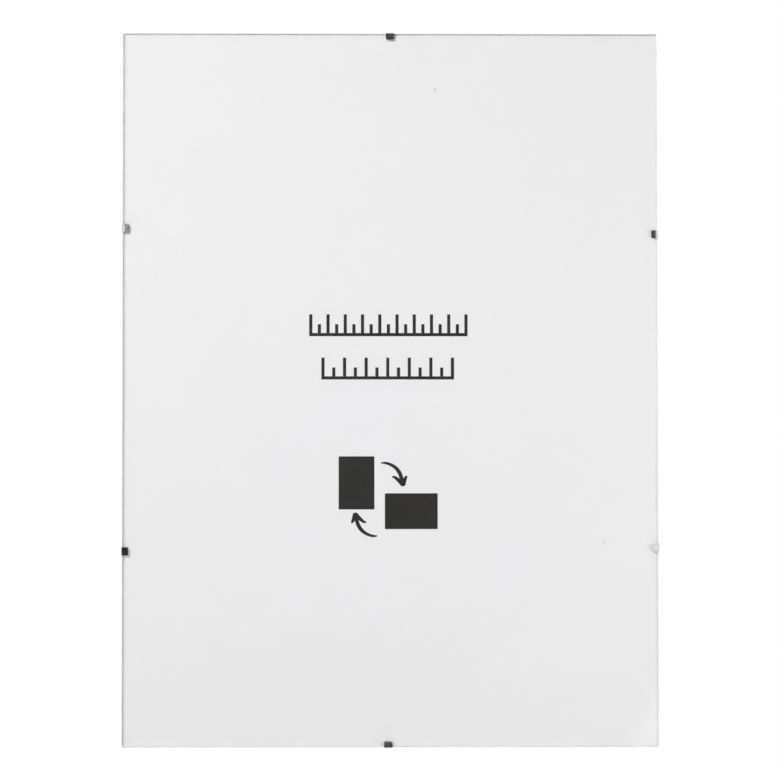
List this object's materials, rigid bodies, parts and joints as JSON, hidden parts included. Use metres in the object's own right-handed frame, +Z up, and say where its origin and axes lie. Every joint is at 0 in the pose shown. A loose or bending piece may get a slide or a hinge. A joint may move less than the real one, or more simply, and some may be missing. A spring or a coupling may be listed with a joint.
{
  "type": "clip frame",
  "caption": "Frameless clip frame: glass over a printed sheet and a hardboard back, held by sliding spring steel clips, with keyhole hanging plates.",
  "frame": {"origin": "centre of the round eye of the upper (portrait) keyhole, halfway through its plate", "axes": "+Z up, +Y towards the wall (the glass faces -Y), +X to the right seen from the front"},
  "size_m": [0.301, 0.0092, 0.401],
  "materials": {
    "picture_glass": "clear float glass, ground edges",
    "printed_sheet": "smooth white coated paper, matte black print",
    "hardboard": "brown hardboard, smooth primed front, woven mesh texture on the back",
    "clip_steel": "bright nickel-plated spring steel",
    "plate_steel": "zinc-plated pressed steel",
    "rivet_steel": "plated tubular rivet"
  },
  "bodies": {
    "frame": {"glass_pane": "picture_glass", "printed_insert": "printed_sheet", "backing_board": "hardboard", "hanger_portrait": "plate_steel", "hanger_landscape": "plate_steel", "portrait_rivets": "rivet_steel", "landscape_rivets": "rivet_steel"},
    "clip_top": {"clip_top": "clip_steel"},
    "clip_bottom": {"clip_bottom": "clip_steel"},
    "clip_left_upper": {"clip_left_upper": "clip_steel"},
    "clip_left_lower": {"clip_left_lower": "clip_steel"},
    "clip_right_upper": {"clip_right_upper": "clip_steel"},
    "clip_right_lower": {"clip_right_lower": "clip_steel"}
  },
  "joints": [
    {"name": "top_clip_slide", "type": "slide", "parent": "frame", "child": "clip_top", "axis": [0, 0, 1], "range_m": [0, 0.007]},
    {"name": "bottom_clip_slide", "type": "slide", "parent": "frame", "child": "clip_bottom", "axis": [0, 0, -1], "range_m": [0, 0.007]},
    {"name": "left_upper_clip_slide", "type": "slide", "parent": "frame", "child": "clip_left_upper", "axis": [-1, 0, 0], "range_m": [0, 0.007]},
    {"name": "left_lower_clip_slide", "type": "slide", "parent": "frame", "child": "clip_left_lower", "axis": [-1, 0, 0], "range_m": [0, 0.007]},
    {"name": "right_upper_clip_slide", "type": "slide", "parent": "frame", "child": "clip_right_upper", "axis": [1, 0, 0], "range_m": [0, 0.007]},
    {"name": "right_lower_clip_slide", "type": "slide", "parent": "frame", "child": "clip_right_lower", "axis": [1, 0, 0], "range_m": [0, 0.007]}
  ]
}
